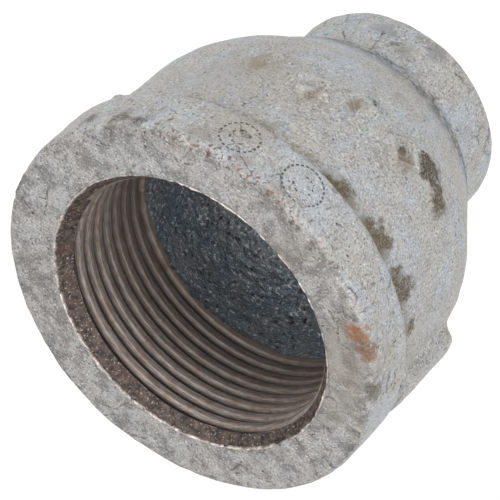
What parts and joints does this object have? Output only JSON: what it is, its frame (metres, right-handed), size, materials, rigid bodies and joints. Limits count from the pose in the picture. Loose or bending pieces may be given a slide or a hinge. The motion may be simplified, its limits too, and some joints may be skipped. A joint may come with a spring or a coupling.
{
  "type": "concentric reducer",
  "caption": "Galvanised threaded pipe fitting that joins a large pipe to a smaller one on the same axis: banded ends, domed bell, grip ribs.",
  "frame": {"origin": "centre of the small end's face, on the fitting's axis", "axes": "+Z along the axis towards the large mouth; +X towards one of the two grip ribs"},
  "size_m": [0.0568, 0.0568, 0.0524],
  "materials": {
    "iron": "machined threads, dull grey-brown",
    "zinc_outside": "hot-dip galvanised, satin light grey",
    "zinc_inside": "hot-dip galvanised over rough casting, dull dark grey"
  },
  "bodies": {
    "root": {"iron_casting": "iron", "outer_zinc_coat": "zinc_outside", "inner_zinc_coat": "zinc_inside"}
  },
  "joints": []
}
